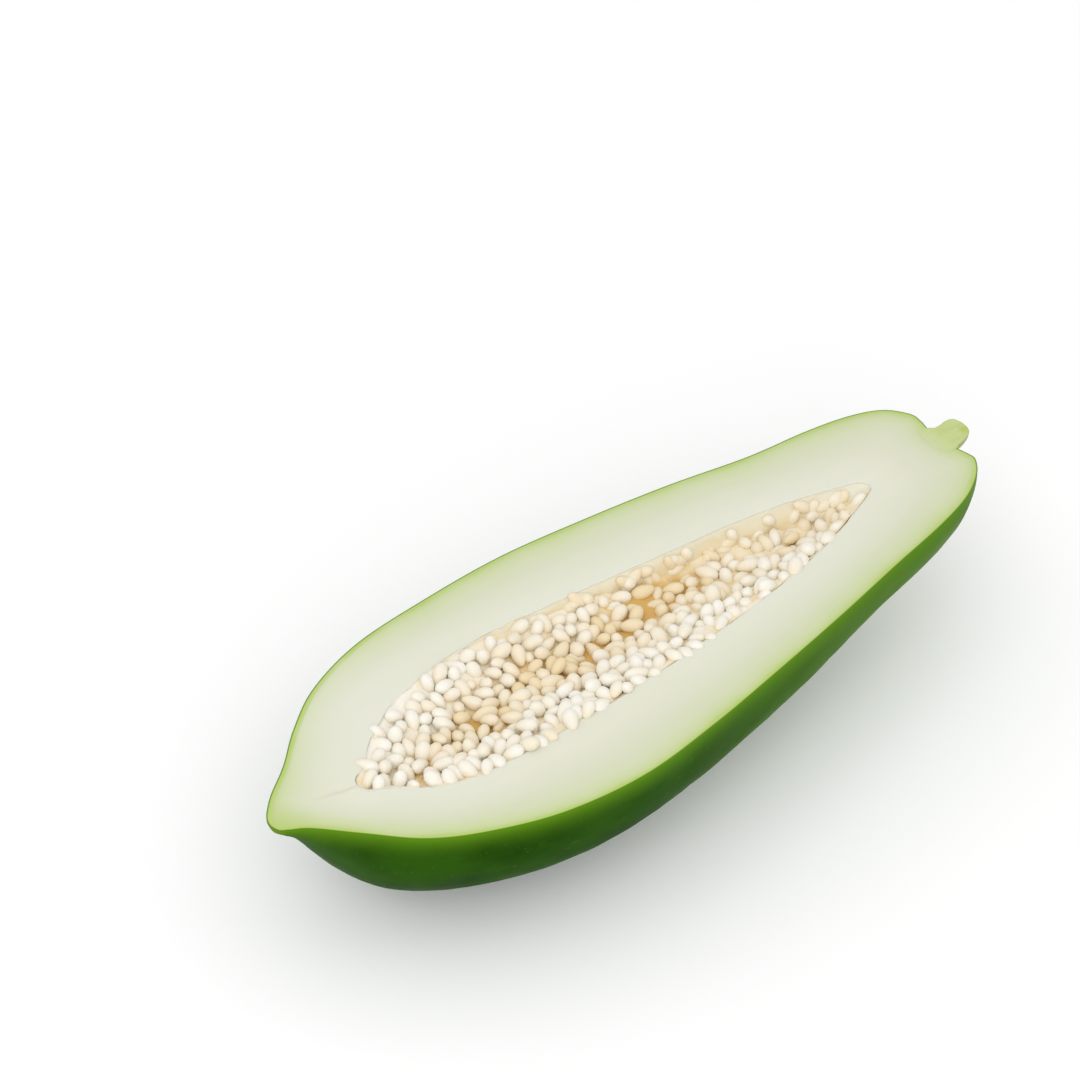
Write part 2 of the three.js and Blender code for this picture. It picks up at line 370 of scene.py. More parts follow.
def edit_only(obj, wanted):
    """Goes into edit mode with only the vertices selected that a test picks."""
    edit(obj)
    bpy.ops.mesh.select_all(action="DESELECT")
    leave_edit()
    for vertex in obj.data.vertices:
        vertex.select = wanted(vertex)
    bpy.ops.object.mode_set(mode="EDIT")


def sphere_rows(name, body, place):
    """A sphere laid out along a body. Its place function takes a row, from pole to pole, and an angle."""
    rows, sides = body.rows, body.sides
    bpy.ops.object.select_all(action="DESELECT")
    bpy.ops.mesh.primitive_uv_sphere_add(segments=sides, ring_count=rows, radius=1)
    obj = bpy.context.object
    obj.name = obj.data.name = name
    for vertex in obj.data.vertices:
        row = round(math.acos(max(-1.0, min(1.0, vertex.co.z))) / math.pi * rows)
        turn = round(math.atan2(vertex.co.y, vertex.co.x) / (2 * math.pi) * sides) % sides
        vertex.co = in_frame(place(row, 2 * math.pi * turn / sides))
    obj.data.update()
    return obj


def body_surface(name, body, inset=0.0, open_end=False, relief=None):
    """A whole body's surface. The last rib of an open-ended one is closed by a flat cap."""
    sides = body.sides
    last = body.rows - 1 if open_end else body.rows

    def place(row, angle):
        if row > last:
            points = [body.inner(1, 2 * math.pi * k / sides, inset) for k in range(sides)]
            middle = sum(points, Vector()) / sides
            middle.z = 0
            return middle
        t = body.spread(row / last)
        point = body.inner(t, angle, inset)
        if relief:
            point += body.normal(t, angle) * relief(point)
        if lies_level(angle):
            point.z = 0
        return point

    return sphere_rows(name, body, place)


def halve(obj, drop=0.0, fill=False):
    """Cuts away what stands above the cut face, or above a height a little below it."""
    edit(obj)
    bpy.ops.mesh.select_all(action="SELECT")
    bpy.ops.mesh.bisect(
        plane_co=(0, 0, (CUT_HEIGHT - drop) * MM), plane_no=(0, 0, 1), clear_outer=True, use_fill=fill,
        threshold=1e-7,
    )
    leave_edit()


def open_stem_end(obj):
    """Takes the cap off a fruit surface, where the stem goes through."""
    end = max(vertex.co.x for vertex in obj.data.vertices)
    middle = in_frame(Vector((0, (FRUIT_RIBS[-1][1] + FRUIT_RIBS[-1][2]) / 2, 0)))

    def is_pole(vertex):
        aside = math.hypot(vertex.co.y - middle.y, vertex.co.z - middle.z)
        return end - vertex.co.x < CAP_POLE[0] * MM and aside < CAP_POLE[1] * MM

    edit_only(obj, is_pole)
    bpy.ops.mesh.delete(type="VERT")
    leave_edit()


def flip(obj):
    edit(obj)
    bpy.ops.mesh.select_all(action="SELECT")
    bpy.ops.mesh.flip_normals()
    leave_edit()


def join(*objects):
    only(*objects)
    bpy.ops.object.join()
    return objects[0]


def select_open_edges():
    bpy.ops.mesh.select_all(action="DESELECT")
    bpy.ops.mesh.select_non_manifold(
        extend=False, use_wire=False, use_boundary=True, use_multi_face=False, use_non_contiguous=False,
        use_verts=False,
    )


def mark_rim(obj):
    """Puts the open edge's vertices in a group, to be found again after bridging."""
    edit(obj)
    select_open_edges()
    obj.vertex_groups.new(name="rim")
    bpy.ops.object.vertex_group_assign()
    leave_edit()


def bridge_rims(obj, cuts):
    """Joins the two open rims with rows of faces, and points all faces out."""
    edit(obj)
    select_open_edges()
    bpy.ops.mesh.bridge_edge_loops(type="SINGLE", number_cuts=cuts, interpolation="LINEAR")
    bpy.ops.mesh.select_all(action="SELECT")
    bpy.ops.mesh.normals_make_consistent(inside=False)
    leave_edit()


def round_rim(obj, radius):
    """Rounds the marked rim over, and lets go of the mark."""
    group = obj.vertex_groups["rim"].index

    def is_marked(vertex):
        return any(entry.group == group and entry.weight > 0.999 for entry in vertex.groups)

    edit_only(obj, is_marked)
    bpy.ops.mesh.select_mode(type="EDGE")
    bpy.ops.mesh.bevel(offset=radius * MM, segments=4, affect="EDGES", clamp_overlap=True)
    leave_edit()
    obj.vertex_groups.clear()


def finish_piece(obj, material, node, smooth):
    """Smooths the faces, gives the material, and ties the piece to the frame."""
    only(obj)
    bpy.ops.object.shade_smooth_by_angle(angle=math.radians(smooth), keep_sharp_edges=True)
    obj.data.materials.clear()
    obj.data.materials.append(material)
    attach(obj, "root")
    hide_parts(node)


def outline(body):
    """A body's two edges on the cut face, each as points in millimetres."""
    ribs = body.ribs_along(EDGE_SAMPLES)
    return [np.array([(rib[0], rib[side]) for rib in ribs]) for side in (1, 2)]


def distances(obj, body):
    """How far each vertex is from a body's edges on the cut face, in millimetres, seen from above."""
    places = np.array([(vertex.co / MM - SHIFT)[:2] for vertex in obj.data.vertices])
    nearest = np.full(len(places), np.inf)
    for points in outline(body):
        for start, end in zip(points, points[1:]):
            run = end - start
            share = np.clip((places - start) @ run / max(float(run @ run), 1e-9), 0, 1)
            nearest = np.minimum(nearest, np.linalg.norm(places - start - share[:, None] * run, axis=1))
    return nearest


def store(obj, name, values):
    """Keeps a value for each vertex, for the material to read."""
    layer = obj.data.attributes.new(name, "FLOAT", "POINT")
    layer.data.foreach_set("value", np.asarray(values, np.float32))


# Materials


def srgb(red, green, blue):
    """A colour read in the usual 0 to 255 steps, as the linear values that shaders take."""
    def linear(value):
        value /= 255
        return value / 12.92 if value <= 0.04045 else ((value + 0.055) / 1.055) ** 2.4

    return (linear(red), linear(green), linear(blue), 1.0)


class Shader:
    """A material's nodes, added one by one."""

    def __init__(self, name, **settings):
        self.material = bpy.data.materials.new(name)
        self.material.use_nodes = True
        self.nodes = self.material.node_tree.nodes
        self.links = self.material.node_tree.links
        self.surface = self.nodes["Principled BSDF"]
        for socket, value in settings.items():
            self.surface.inputs[socket.replace("_", " ")].default_value = value
        self.place = self.nodes.new("ShaderNodeTexCoord").outputs["Object"]

    def add(self, kind, values=None, links=None, **settings):
        node = self.nodes.new("ShaderNode" + kind)
        for key, value in settings.items():
            setattr(node, key, value)
        for socket, value in (values or {}).items():
            node.inputs[socket].default_value = value
        for socket, source in (links or {}).items():
            self.links.new(source, node.inputs[socket])
        return node

    def noise(self, scale, detail=2.0, stretch=None):
        place = self.place
        if stretch:
            place = self.add("Mapping", {"Scale": stretch}, {"Vector": self.place}).outputs["Vector"]
        return self.add("TexNoise", {"Scale": scale, "Detail": detail}, {"Vector": place}).outputs["Fac"]

    def attribute(self, name):
        return self.add("Attribute", attribute_name=name).outputs["Fac"]

    def remap(self, source, low, high, to_low=0.0, to_high=1.0):
        values = {"From Min": low, "From Max": high, "To Min": to_low, "To Max": to_high}
        return self.add("MapRange", values, {"Value": source}).outputs["Result"]

    def ramp(self, source, stops):
        """Colours at places from 0 to 1, with the source between them."""
        node = self.add("ValToRGB", links={"Fac": source})
        elements = node.color_ramp.elements
        for _ in stops[2:]:
            elements.new(0.5)
        for element, (place, colour) in zip(elements, stops):
            element.position = place
            element.color = colour
        return node.outputs["Color"]

    def fill(self, socket, source):
        """Gives an input either a link or a plain value."""
        if isinstance(source, bpy.types.NodeSocket):
            self.links.new(source, socket)
        else:
            socket.default_value = source

    def mix(self, share, first, second):
        node = self.add("Mix", data_type="RGBA")
        for index, source in ((0, share), (6, first), (7, second)):
            self.fill(node.inputs[index], source)
        return node.outputs[2]

    def math(self, operation, first, second=0.0):
        node = self.add("Math", operation=operation)
        self.fill(node.inputs[0], first)
        self.fill(node.inputs[1], second)
        return node.outputs[0]

    def part(self, axis):
        """How far a place is along an axis of the frame."""
        return self.add("SeparateXYZ", links={"Vector": self.place}).outputs[axis]

    def near(self, place, low, high, most=1.0):
        """The most within low millimetres of a place on the fruit, 0 beyond high."""
        node = self.add("VectorMath", links={0: self.place}, operation="DISTANCE")
        node.inputs[1].default_value = in_frame(Vector(place))
        return self.remap(node.outputs["Value"], high * MM, low * MM, 0.0, most)

    def colour(self, source):
        self.links.new(source, self.surface.inputs["Base Color"])

    def roughness(self, source):
        self.links.new(source, self.surface.inputs["Roughness"])

    def bump(self, height, strength, distance):
        values = {"Strength": strength, "Distance": distance * MM}
        node = self.add("Bump", values, {"Height": height})
        self.links.new(node.outputs["Normal"], self.surface.inputs["Normal"])


def cut_colour(shader, colours):
    """The cut face's colours, by how deep under the skin a place is: lime, pale green, then cream."""
    reach = CUT_REACH
    waver = shader.remap(shader.noise(70, 3), 0.3, 0.7, -0.6, 0.6)
    depth = shader.math("ADD", shader.attribute("depth"), waver)
    base = shader.ramp(shader.math("DIVIDE", depth, reach), [
        (0.5 / reach, colours.rim),
        (1.7 / reach, colours.rim_inner),
        (3.4 / reach, colours.flesh_green),
        (6.5 / reach, colours.flesh_pale),
        (12.0 / reach, colours.flesh),
        (1.0, colours.flesh_inner),
    ])
    green_tip = shader.mix(shader.near(TIP_GREEN, 2.0, 11.0, 0.8), base, colours.rim)
    return shader.mix(shader.near(STEM_GREEN, 3.0, 11.5, 0.9), green_tip, colours.stem)


def skin_material(colours):
    """Waxy green skin: mottled, with pale long bands that are partly a painted highlight, a painted glow of
    light just under the rim, and lime on the cut.
    """
    shader = Shader("papaya_skin", Roughness=0.4, Specular_IOR_Level=0.01)
    mottle = shader.ramp(shader.noise(45, 6, (1, 1.6, 1.6)), [
        (0.34, colours.skin_deep), (0.66, colours.skin),
    ])
    # Pale long bands: partly the skin's own paler streaks, partly a painted highlight along the ridges.
    bands = shader.remap(shader.noise(16, 3, (0.25, 2.2, 2.2)), 0.5, 0.7, 0.0, 0.6)
    banded = shader.mix(bands, mottle, colours.skin_band_and_highlight)
    patches = shader.remap(shader.noise(30, 5, (0.5, 1.5, 1.5)), 0.42, 0.68, 0.0, 0.5)
    far_side = shader.remap(shader.part("Y"), -20 * MM, 30 * MM)
    waxy = shader.mix(shader.math("MULTIPLY", patches, far_side), banded, colours.skin_wax)
    narrow_half = shader.near(STEM_GREEN, 55.0, 160.0)
    brightness = shader.math("MULTIPLY", narrow_half, shader.remap(patches, 0.5, 0.0, 0.75, 1.0))
    bright = shader.mix(brightness, waxy, colours.skin_bright)
    streaked = shader.mix(stem_streaks(shader), bright, colours.skin_pale)
    stem_end = shader.mix(shader.near(STEM_GREEN, 10.0, 42.0, 0.9), streaked, colours.skin_pale)
    # Painted light: the skin is coloured brighter towards the cut face, a painted glow standing for light
    # shining through under the rim.
    painted_glow = shader.remap(shader.part("Z"), (CUT_HEIGHT - 9) * MM, (CUT_HEIGHT - 0.4) * MM)
    painted_glow = shader.math("MULTIPLY", shader.math("POWER", painted_glow, 2.2), 0.95)
    lit = shader.mix(painted_glow, stem_end, colours.skin_painted_glow)
    specks = shader.remap(shader.noise(700, 2), 0.66, 0.74, 0.0, 0.22)
    specked = shader.mix(specks, lit, colours.skin_pale)
    scar = shader.mix(shader.near(SCAR, 0.8, 3.0, 0.8), specked, colours.scar)
    cut = shader.remap(shader.attribute("depth"), 0.12, 0.5)
    shader.colour(shader.mix(cut, scar, cut_colour(shader, colours)))
    shader.roughness(shader.remap(shader.noise(60, 3), 0.3, 0.7, 0.34, 0.48))
    shader.bump(shader.noise(260, 3), 0.14, 0.5)
    return shader.material


def stem_streaks(shader):
    """Pale streaks that run out from the stem along the skin."""
    centre = in_frame(Vector(STEM_GREEN))
    down = shader.math("SUBTRACT", shader.part("Z"), centre.z)
    aside = shader.math("SUBTRACT", shader.part("Y"), centre.y)
    turn = shader.math("MULTIPLY", shader.math("ARCTAN2", down, aside), STREAKS)
    along = shader.math("MULTIPLY", shader.part("X"), STREAK_WANDER)
    place = shader.add("CombineXYZ", links={"X": turn, "Y": along}).outputs["Vector"]
    streaks = shader.add("TexNoise", {"Scale": 1.0, "Detail": 3.0}, {"Vector": place}).outputs["Fac"]
    strength = shader.remap(streaks, 0.5, 0.68, 0.0, 0.6)
    return shader.math("MULTIPLY", strength, shader.near(STEM_GREEN, 14.0, 105.0))


def flesh_material(colours):
    """Crisp moist flesh: lime under the skin, pale green, then cream, and whiter round the hollow."""
    shader = Shader(
        "papaya_flesh", Roughness=0.4, Specular_IOR_Level=0.3, Subsurface_Weight=0.2, Subsurface_Scale=0.003,
        Subsurface_Radius=(1.0, 0.95, 0.6),
    )
    base = cut_colour(shader, colours)
    pith = shader.remap(shader.attribute("to_hollow"), 14.0, 0.5, 0.0, 0.75)
    whiter = shader.mix(pith, base, colours.pith)
    whitest = shader.mix(shader.near(WHITEST, 5.0, 42.0, 0.6), whiter, colours.pith)
    clouds = shader.remap(shader.noise(85, 4, (0.35, 1.4, 1)), 0.38, 0.7, 0.0, 0.14)
    clouded = shader.mix(clouds, whitest, colours.flesh_pale)
    shader.colour(shader.mix(seam(shader), clouded, colours.seam))
    shader.roughness(shader.remap(shader.noise(120, 3), 0.3, 0.7, 0.32, 0.48))
    shader.bump(shader.noise(620, 3, (0.4, 1, 1)), 0.14, 0.3)
    return shader.material


def seam(shader):
    """A faint tan line in the flesh, from the hollow's tip towards the blossom tip."""
    start, end = Vector(SEAM_START), Vector(SEAM_END)
    run = end - start
    turn = math.atan2(run.y, run.x)
    values = {"Location": in_frame(start), "Rotation": (0, 0, turn)}
    mapping = shader.add("Mapping", values, {"Vector": shader.place}, vector_type="TEXTURE")
    parts = shader.add("SeparateXYZ", links={"Vector": mapping.outputs["Vector"]})
    waver = shader.remap(shader.noise(110, 2), 0.3, 0.7, -0.5 * MM, 0.5 * MM)
    aside = shader.math("ABSOLUTE", shader.math("ADD", parts.outputs["Y"], waver))
    line = shader.remap(aside, 1.0 * MM, 0.1 * MM)
    along = shader.remap(parts.outputs["X"], run.length * MM, run.length * 0.5 * MM)
    begun = shader.remap(parts.outputs["X"], -1 * MM, 0)
    faint = shader.math("MULTIPLY", begun, 0.35)
    return shader.math("MULTIPLY", shader.math("MULTIPLY", line, along), faint)


def blossom_end(shader):
    """Where the hollow's tissue is nearly white, towards the blossom tip."""
    return shader.near(WHITEST, 16.0, 50.0, 0.8)


def lining_material(colours):
    """Soft tissue on the hollow's wall: cream at the rim, tan below, faintly streaked downwards."""
    shader = Shader("cavity_lining", Roughness=0.5, Specular_IOR_Level=0.15)
    waver = shader.remap(shader.noise(150, 3), 0.3, 0.7, -1.4 * MM, 1.4 * MM)
    level = shader.math("ADD", shader.part("Z"), waver)
    below = shader.remap(level, (CUT_HEIGHT - 0.6) * MM, (CUT_HEIGHT - 12) * MM)
    base = shader.ramp(below, [
        (0.0, colours.lining_pale), (0.35, colours.lining), (1.0, colours.lining_deep),
    ])
    blotches = shader.remap(shader.noise(150, 4, (0.7, 1, 0.8)), 0.5, 0.66, 0.0, 0.38)
    lower = shader.remap(below, 0.06, 0.25)
    blotched = shader.mix(shader.math("MULTIPLY", blotches, lower), base, colours.lining_deep)
    paler = shader.mix(shader.near(HOLLOW_TIP, 4.0, 24.0, 0.6), blotched, colours.pith)
    shader.colour(shader.mix(blossom_end(shader), paler, colours.pith))
    shader.bump(shader.noise(420, 3), 0.3, 0.5)
    return shader.material


def bed_material(colours):
    """The pulp under and between the seeds: cream by the rim, ochre in the trough."""
    shader = Shader("seed_bed", Roughness=0.45, Specular_IOR_Level=0.2)
    waver = shader.remap(shader.noise(160, 3), 0.3, 0.7, -0.2, 0.45)
    deep = shader.math("ADD", shader.attribute("deep"), waver)
    base = shader.ramp(deep, [(0.0, colours.bed_pale), (0.4, colours.bed), (0.85, colours.bed_deep)])
    pale = shader.math("MULTIPLY", blossom_end(shader), shader.remap(deep, 0.5, 0.1))
    shader.colour(shader.mix(pale, base, colours.seed_white))
    shader.bump(shader.noise(520, 3), 0.35, 0.6)
    return shader.material


def seed_material(colours):
    """Smooth damp seeds, some whiter and some warmer, with painted shade making those in the trough warmer,
    each a little warmer at its stalk end.
    """
    shader = Shader("papaya_seed", Roughness=0.4, Specular_IOR_Level=0.2)
    own = shader.ramp(shader.attribute("tone"), [
        (0.0, colours.seed_warmth_and_shade), (0.5, colours.seed), (1.0, colours.seed_white),
    ])
    stalk = shader.remap(shader.attribute("stalk"), 0.35, 1.0, 0.0, 0.45)
    base = shader.mix(stalk, own, colours.seed_warmth_and_shade)
    clouds = shader.remap(shader.noise(420, 2), 0.4, 0.7, 0.0, 0.2)
    shader.colour(shader.mix(clouds, base, colours.seed_warmth_and_shade))
    shader.bump(shader.noise(900, 2), 0.1, 0.3)
    return shader.material


def stem_material(colours):
    """The split stem: lime with darker fibres, green at its side, greenest in one spot by its end."""
    shader = Shader(
        "papaya_stem", Roughness=0.5, Specular_IOR_Level=0.25, Subsurface_Weight=0.15,
        Subsurface_Scale=0.002,
    )
    fibres = shader.remap(shader.noise(330, 3, (0.3, 2, 1)), 0.38, 0.7, 0.0, 0.5)
    core = shader.mix(fibres, colours.stem, colours.stem_fibre)
    spot = shader.mix(shader.near(STEM_SPOT, 0.6, 2.4, 0.8), core, colours.stem_spot)
    edge = shader.mix(shader.remap(shader.attribute("inside"), 0.3, 0.0, 0.0, 0.8), spot, colours.stem_side)
    start, end = (in_frame(Vector((place, 0, 0))).x for place in STEM_NECK)
    grown = shader.remap(shader.part("X"), start, end)
    shader.colour(shader.mix(grown, cut_colour(shader, colours), edge))
    shader.bump(fibres, 0.25, 0.3)
    return shader.material


# Settings that a user would change


def length_setting(name, description, default):
    return FloatProperty(name=name, description=description, default=default * MM, min=0, unit="LENGTH")


def colour_setting(name, description, default):
    return FloatVectorProperty(
        name=name, description=description, default=default, size=4, min=0, max=1, subtype="COLOR"
    )


class PapayaSizes(bpy.types.PropertyGroup):
    skin_thickness: length_setting("Skin", "Thickness of the skin and its rind", 1.5)
    lining_thickness: length_setting("Lining", "Thickness of the tissue on the hollow's wall", 1.2)
    rim_radius: length_setting("Rim", "Rounding of the hollow's edge", 0.6)
    seed_length: length_setting("Seed length", "Length of a seed", 6.8)
    seed_width: length_setting("Seed width", "Width of a seed", 4.6)
    seed_count: IntProperty(name="Seeds", description="How many seeds lie in the hollow", default=315, min=1)


class PapayaColours(bpy.types.PropertyGroup):
    skin: colour_setting("Skin", "Green of the skin", srgb(42, 82, 10))
    skin_deep: colour_setting("Deep skin", "Darker mottling of the skin", srgb(29, 63, 5))
    # Partly the skin's own paler bands, partly a painted highlight along the ridges.
    skin_band_and_highlight: colour_setting("Bands", "Paler long bands", srgb(68, 110, 28))
    skin_wax: colour_setting("Wax", "Waxy patches on the far side", srgb(92, 130, 66))
    skin_bright: colour_setting("Bright skin", "Skin of the narrow half", srgb(77, 117, 30))
    skin_pale: colour_setting("Pale skin", "Skin towards the stem, and specks", srgb(96, 120, 62))
    # Painted glow: this colour stands for light shining through the skin just under the rim.
    skin_painted_glow: colour_setting("Skin at the rim", "Skin lit through just under the rim", srgb(88, 132, 22))
    scar: colour_setting("Scar", "Dried spot where the blossom was", srgb(104, 134, 36))
    rim: colour_setting("Rim", "Lime cut edge of the skin", srgb(182, 202, 116))
    rim_inner: colour_setting("Inner rim", "Flesh against the skin", srgb(195, 209, 147))
    flesh_green: colour_setting("Green flesh", "Flesh just inside the rim", srgb(203, 212, 165))
    flesh_pale: colour_setting("Pale flesh", "Flesh half way to the hollow", srgb(210, 215, 183))
    flesh: colour_setting("Flesh", "Cream of the flesh", srgb(216, 218, 194))
    flesh_inner: colour_setting("Inner flesh", "Flesh deepest under the skin", srgb(221, 221, 200))
    pith: colour_setting("Pith", "White round the hollow", srgb(227, 227, 213))
    seam: colour_setting("Seam", "Faint line from the hollow to the blossom tip", srgb(200, 190, 158))
    lining_pale: colour_setting("Pale lining", "Lining under the rim", srgb(230, 223, 200))
    lining: colour_setting("Lining", "Tan tissue of the hollow", srgb(231, 218, 184))
    lining_deep: colour_setting("Deep lining", "Tissue deep among the seeds", srgb(222, 197, 144))
    bed_pale: colour_setting("Pale pulp", "Pulp by the hollow's rim", srgb(246, 236, 214))
    bed: colour_setting("Pulp", "Pulp between the seeds", srgb(240, 222, 182))
    bed_deep: colour_setting("Deep pulp", "Ochre pulp in the trough", srgb(213, 173, 99))
    seed: colour_setting("Seed", "Ivory of the seeds", srgb(240, 231, 212))
    # Partly the seeds' own warmth, partly painted shade on the seeds in the trough.
    seed_warmth_and_shade: colour_setting("Warm seed", "Shade and warmth on the seeds", srgb(234, 215, 176))
    seed_white: colour_setting("White seed", "The whitest seeds", srgb(243, 240, 231))
    stem: colour_setting("Stem", "Lime of the cut stem", srgb(196, 208, 140))
    stem_fibre: colour_setting("Stem fibres", "Darker fibres in the stem", srgb(184, 196, 127))
    stem_spot: colour_setting("Stem spot", "Greenest part of the stem", srgb(176, 192, 92))
    stem_side: colour_setting("Stem side", "Outside of the stem", srgb(150, 166, 100))


# Pieces


class PAPAYA_OT_stage(bpy.types.Operator):
    """Adds the floor, the lights and the camera"""

    bl_idname = "papaya.stage"
    bl_label = "Floor, lights and camera"

    def execute(self, context):
        context.scene.view_settings.view_transform = "Standard"
        self.add_floor()
        self.add_lights(context.scene)
        self.add_camera(context.scene)
        return {"FINISHED"}

    def add_floor(self):
        bpy.ops.object.select_all(action="DESELECT")
        bpy.ops.mesh.primitive_plane_add(size=8)
        floor = bpy.context.object
        floor.name = "floor"
        shader = Shader(
            "floor_white", Base_Color=(0.9, 0.9, 0.9, 1), Roughness=0.9, Specular_IOR_Level=0.1,
            Emission_Color=(1, 1, 1, 1), Emission_Strength=0.1,
        )
        floor.data.materials.append(shader.material)

    def add_lights(self, scene):
        world = bpy.data.worlds.new("studio")
        world.use_nodes = True
        sky = world.node_tree.nodes["Background"]
        sky.inputs["Color"].default_value = (1, 1, 1, 1)
        sky.inputs["Strength"].default_value = SKY_STRENGTH
        scene.world = world
        for name, place, size, power in SOFT_LIGHTS:
            bpy.ops.object.light_add(type="AREA", location=place)
            light = bpy.context.object
            light.name = name
            light.data.size = size
            light.data.energy = power
            light.rotation_euler = (-light.location).to_track_quat("-Z", "Y").to_euler()

    def add_camera(self, scene):
        aim = in_frame(Vector(CAMERA_AIM))
        azimuth, elevation = math.radians(CAMERA_AZIMUTH), math.radians(CAMERA_ELEVATION)
        level = math.cos(elevation)
        view = Vector((-math.sin(azimuth) * level, math.cos(azimuth) * level, -math.sin(elevation)))
        bpy.ops.object.camera_add(location=aim - view * CAMERA_DISTANCE * MM)
        camera = bpy.context.object
        camera.name = "camera"
        camera.rotation_euler = view.to_track_quat("-Z", "Y").to_euler()
        camera.data.lens = CAMERA_LENS
        camera.data.sensor_width = CAMERA_SENSOR
        scene.camera = camera


def skin_relief(point):
    """The skin's slight unevenness. It runs lengthwise, and dies out at the cut and where the half lies."""
    calm = blend(-point.z, low=0, high=8) * blend(point.z + REST_DEPTH, low=0, high=4)
    along = Vector((point.x * 0.4, point.y, point.z))
    return calm * (swell(along, height=0.5, width=16) + swell(point, height=0.16, width=6))


class PAPAYA_OT_skin(bpy.types.Operator):
    """Adds the half shell of skin"""

    bl_idname = "papaya.skin"
    bl_label = "Skin"

    def execute(self, context):
        thickness = context.scene.papaya_sizes.skin_thickness / MM
        outside = body_surface("papaya_skin", FRUIT, open_end=True, relief=skin_relief)
        inside = body_surface("skin_inside", FRUIT, thickness, open_end=True)
        flip(inside)
        for surface in (outside, inside):
            open_stem_end(surface)
            halve(surface)
        skin = join(outside, inside)
        bridge_rims(skin, cuts=5)
        on_cut = [vertex.co.z > (CUT_HEIGHT - CUT_BAND) * MM for vertex in skin.data.vertices]
        store(skin, "depth", np.where(on_cut, distances(skin, FRUIT), 0.0))
        finish_piece(skin, skin_material(context.scene.papaya_colours), "skin", smooth=35)
        return {"FINISHED"}


class PAPAYA_OT_flesh(bpy.types.Operator):
    """Adds the flesh, with the hollow for the seeds"""

    bl_idname = "papaya.flesh"
    bl_label = "Flesh"

    def execute(self, context):
        sizes = context.scene.papaya_sizes
        thickness = sizes.skin_thickness / MM
        flesh = body_surface("papaya_flesh", FRUIT, thickness, open_end=True)
        hollow = body_surface("flesh_hollow", HOLLOW, relief=ragged)
        flip(hollow)
        halve(flesh)
        halve(hollow)
        mark_rim(hollow)
        flesh = join(flesh, hollow)
        bridge_rims(flesh, cuts=20)
        round_rim(flesh, sizes.rim_radius / MM)
        store(flesh, "depth", distances(flesh, FRUIT))
        store(flesh, "to_hollow", distances(flesh, HOLLOW))
        finish_piece(flesh, flesh_material(context.scene.papaya_colours), "flesh", smooth=60)
        return {"FINISHED"}


class PAPAYA_OT_lining(bpy.types.Operator):
    """Adds the tissue that lines the hollow"""

    bl_idname = "papaya.lining"
    bl_label = "Lining"

    def execute(self, context):
        sizes = context.scene.papaya_sizes
        thickness = sizes.lining_thickness / MM

        def wall(point):
            return ragged(point) - LINING_GAP

        def inner_wall(point):
            lumps = swell(point, height=0.8, width=3.2) + swell(point, height=0.5, width=9, level=3)
            fullness = max(LINING_FULLNESS + lumps, LINING_LEAST) * blend(-point.z, low=0.3, high=4)
            return wall(point) - LINING_EDGE - thickness * fullness

        outside = body_surface("cavity_lining", HOLLOW, relief=wall)
        inside = body_surface("lining_inside", HOLLOW, relief=inner_wall)
        flip(inside)
        for surface in (outside, inside):
            halve(surface, drop=sizes.rim_radius / MM * LINING_DROP)
        lining = join(outside, inside)
        bridge_rims(lining, cuts=0)
        material = lining_material(context.scene.papaya_colours)
        finish_piece(lining, material, "placenta", smooth=80)
        return {"FINISHED"}


def rib_at(x):
    """The hollow's far edge, near edge and depth at a place along it."""
    return HOLLOW_TABLE[int(np.searchsorted(HOLLOW_PLACES, x).clip(0, len(HOLLOW_TABLE) - 1))]


def across(x, y):
    """How far across the hollow a place is: 0 at the near edge, 1 at the far edge."""
    _, far, near, _ = rib_at(x)
    return min(1.0, max(0.0, (y - near) / max(far - near, 1e-3)))


def bed_depth(x, y):
    """How far the pulp that the seeds sit in lies below the cut face."""
    share = across(x, y)
    blossom = float(np.interp(share, BED_SHARES, BED_BLOSSOM))
    stem = float(np.interp(share, BED_SHARES, BED_STEM))
    ends = fade(x, *BED_BLOSSOM_END) + blend(x, *BED_STEM_END)
    return (blossom + (stem - blossom) * blend(x, *BED_CHANGES)) * (1 - ends)


def bed_edges(x):
    """Where the pulp's surface meets the hollow's far wall and its near wall."""
    _, far, near, depth = rib_at(x)
    middle, half = (far + near) / 2, (far - near) / 2
    edges = []
    for reach in (half, -half):
        sunk = bed_depth(x, middle + reach) / max(depth, LEAST_DEPTH)
        edges.append(middle + reach * math.sqrt(max(1 - sunk * sunk, BED_LEAST_SPAN**2)))
    return edges


def wall_depth(x, y, inset):
    """How far the wall, moved in, lies below the cut face."""
    _, far, near, depth = rib_at(x)
    half = max((far - near) / 2 - inset, LEAST_DEPTH)
    aside = min(1.0, abs(y - (far + near) / 2) / half)
    return max(depth - inset, LEAST_DEPTH) * math.sqrt(1 - aside * aside)


def resting_place(x, y):
    """The surface that a seed sits on: the pulp, or the lining where that is higher."""
    return -min(bed_depth(x, y), wall_depth(x, y, LINING_UNDER_SEEDS))


def resting_normal(x, y):
    rise_x = resting_place(x + PULP_STEP, y) - resting_place(x - PULP_STEP, y)
    rise_y = resting_place(x, y + PULP_STEP) - resting_place(x, y - PULP_STEP)
    slope_x, slope_y = rise_x / (2 * PULP_STEP), rise_y / (2 * PULP_STEP)
    return Vector((-slope_x, -slope_y, 1)).normalized()


def trough(x, y):
    """How near a place is to the seeds' trough, where the pulp shows ochre."""
    middle = float(np.interp(x, TROUGH_PLACES, TROUGH_MIDDLES))
    ends = blend(x, *TROUGH_BEGINS) * (1 - blend(x, *TROUGH_THINS))
    return math.exp(-((y - middle) / TROUGH_WIDTH) ** 2) * ends


